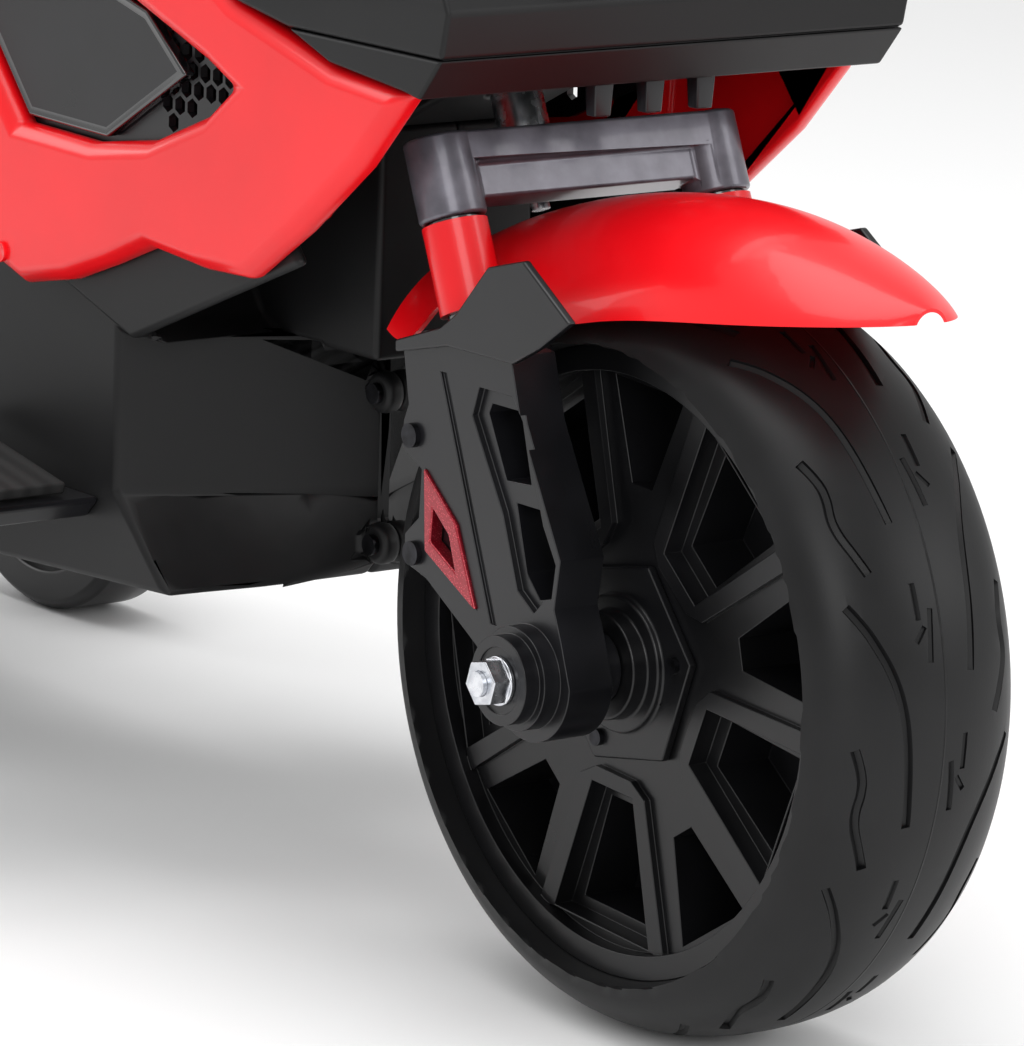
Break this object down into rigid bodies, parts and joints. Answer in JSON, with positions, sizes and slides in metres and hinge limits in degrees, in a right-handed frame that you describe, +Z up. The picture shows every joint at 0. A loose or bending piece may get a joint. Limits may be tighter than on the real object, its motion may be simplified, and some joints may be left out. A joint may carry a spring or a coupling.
{
  "type": "ride-on motorcycle",
  "caption": "Battery ride-on motorcycle for a child: steerable fork and handlebar, foam-tyred dished wheels, side stabiliser wheels, hinged seat.",
  "frame": {"origin": "on the floor, midway between the two axles, in the middle plane", "axes": "+X forward, +Y to the rider's left, +Z up"},
  "size_m": [1.06, 0.488, 0.7774],
  "materials": {
    "foam_tyre": "matte moulded EVA foam",
    "black_rim": "satin moulded polypropylene",
    "black_plastic": "fine satin texture",
    "gloss_black": "polished",
    "red_gloss": "gloss moulded",
    "red_metallic": "metallic paint",
    "grey_crown": "silver-grey metallic moulding",
    "steel": "zinc plated",
    "grip_rubber": "matte",
    "seat_vinyl": "grained vinyl",
    "clear_screen": "smoked clear",
    "lamp": "clear lens",
    "lamp_red": "translucent red",
    "stabiliser_plastic": "satin"
  },
  "bodies": {
    "chassis": {"chassis_left": "black_plastic", "chassis_right": "black_plastic", "chassis_screws": "steel", "steering_head": "black_plastic", "front_fairing": "black_plastic", "fairing_lip": "black_plastic", "headlight": "lamp", "windscreen": "clear_screen", "dash_panel": "black_plastic", "tank_cover": "red_gloss", "side_panel_left": "red_gloss", "side_panel_right": "red_gloss", "grille_left": "black_plastic", "grille_right": "black_plastic", "badge_plate_left": "gloss_black", "badge_plate_right": "gloss_black", "battery": "gloss_black", "rear_arm_left": "black_plastic", "rear_arm_right": "black_plastic", "rear_axle": "steel", "drive_gearbox": "black_plastic", "tail_cover": "black_plastic", "tail_light": "lamp_red", "footrest_left": "black_plastic", "footrest_right": "black_plastic"},
    "steering": {"fork_leg_left": "black_plastic", "fork_leg_right": "black_plastic", "fork_insert_left": "red_metallic", "fork_insert_right": "red_metallic", "fork_wing_left": "black_plastic", "fork_wing_right": "black_plastic", "fork_lug_bolts": "steel", "fork_tube_left": "gloss_black", "fork_tube_right": "gloss_black", "fork_crown": "grey_crown", "front_fender": "red_gloss", "steering_stem": "steel", "front_axle": "steel", "front_axle_nuts": "steel", "handlebar": "black_plastic", "grip_left": "grip_rubber", "grip_right": "grip_rubber"},
    "front_wheel": {"front_tyre": "foam_tyre", "front_rim": "black_rim", "front_hub_cover_left": "black_rim", "front_hub_cover_right": "black_rim", "front_hub_screws": "steel"},
    "rear_wheel": {"rear_tyre": "foam_tyre", "rear_rim": "black_rim", "rear_hub_cover": "black_rim"},
    "left_stabiliser": {"stabiliser_wheel_left": "stabiliser_plastic"},
    "right_stabiliser": {"stabiliser_wheel_right": "stabiliser_plastic"},
    "left_mirror": {"mirror_left": "gloss_black"},
    "right_mirror": {"mirror_right": "gloss_black"},
    "horn": {"horn_button": "red_gloss"},
    "seat": {"seat_pan": "black_plastic", "seat_cushion": "seat_vinyl"},
    "power": {"power_button": "gloss_black"},
    "rocker": {"direction_rocker": "gloss_black"},
    "pedal": {"foot_pedal": "grip_rubber"}
  },
  "joints": [
    {"name": "steer", "type": "hinge", "parent": "chassis", "child": "steering", "pos_m": [0.26717, 0, 0.31277], "axis": [-0.3907, 0, 0.9205], "range_deg": [-30, 30]},
    {"name": "front_wheel_spin", "type": "hinge", "parent": "steering", "child": "front_wheel", "pos_m": [0.375, 0, 0.155], "axis": [0, 1, 0], "continuous": true},
    {"name": "rear_wheel_spin", "type": "hinge", "parent": "chassis", "child": "rear_wheel", "pos_m": [-0.375, 0, 0.155], "axis": [0, 1, 0], "continuous": true},
    {"name": "left_stabiliser_spin", "type": "hinge", "parent": "chassis", "child": "left_stabiliser", "pos_m": [-0.385, 0.2, 0.086], "axis": [0, 1, 0], "continuous": true},
    {"name": "left_mirror_turn", "type": "hinge", "parent": "steering", "child": "left_mirror", "pos_m": [0.09836, 0.092, 0.67392], "axis": [-0.3907, 0, 0.9205], "range_deg": [-20, 20]},
    {"name": "right_stabiliser_spin", "type": "hinge", "parent": "chassis", "child": "right_stabiliser", "pos_m": [-0.385, -0.2, 0.086], "axis": [0, 1, 0], "continuous": true},
    {"name": "right_mirror_turn", "type": "hinge", "parent": "steering", "child": "right_mirror", "pos_m": [0.09836, -0.092, 0.67392], "axis": [-0.3907, 0, 0.9205], "range_deg": [-20, 20]},
    {"name": "seat_lift", "type": "hinge", "parent": "chassis", "child": "seat", "pos_m": [-0.33, 0, 0.3804], "axis": [0, -1, 0], "range_deg": [0, 80]},
    {"name": "pedal_press", "type": "hinge", "parent": "chassis", "child": "pedal", "pos_m": [0.081, -0.142, 0.179], "axis": [0, -1, 0], "range_deg": [0, 8], "stiffness_Nm_per_rad": 1.5},
    {"name": "direction_switch", "type": "hinge", "parent": "chassis", "child": "rocker", "pos_m": [0.1, -0.03, 0.51], "axis": [0, 1, 0], "range_deg": [-8, 8]},
    {"name": "power_press", "type": "slide", "parent": "chassis", "child": "power", "axis": [0, 0, -1], "range_m": [0, 0.002], "stiffness_N_per_m": 300},
    {"name": "horn_press", "type": "slide", "parent": "steering", "child": "horn", "axis": [0.3907, 0, -0.9205], "range_m": [0, 0.002], "stiffness_N_per_m": 300}
  ]
}
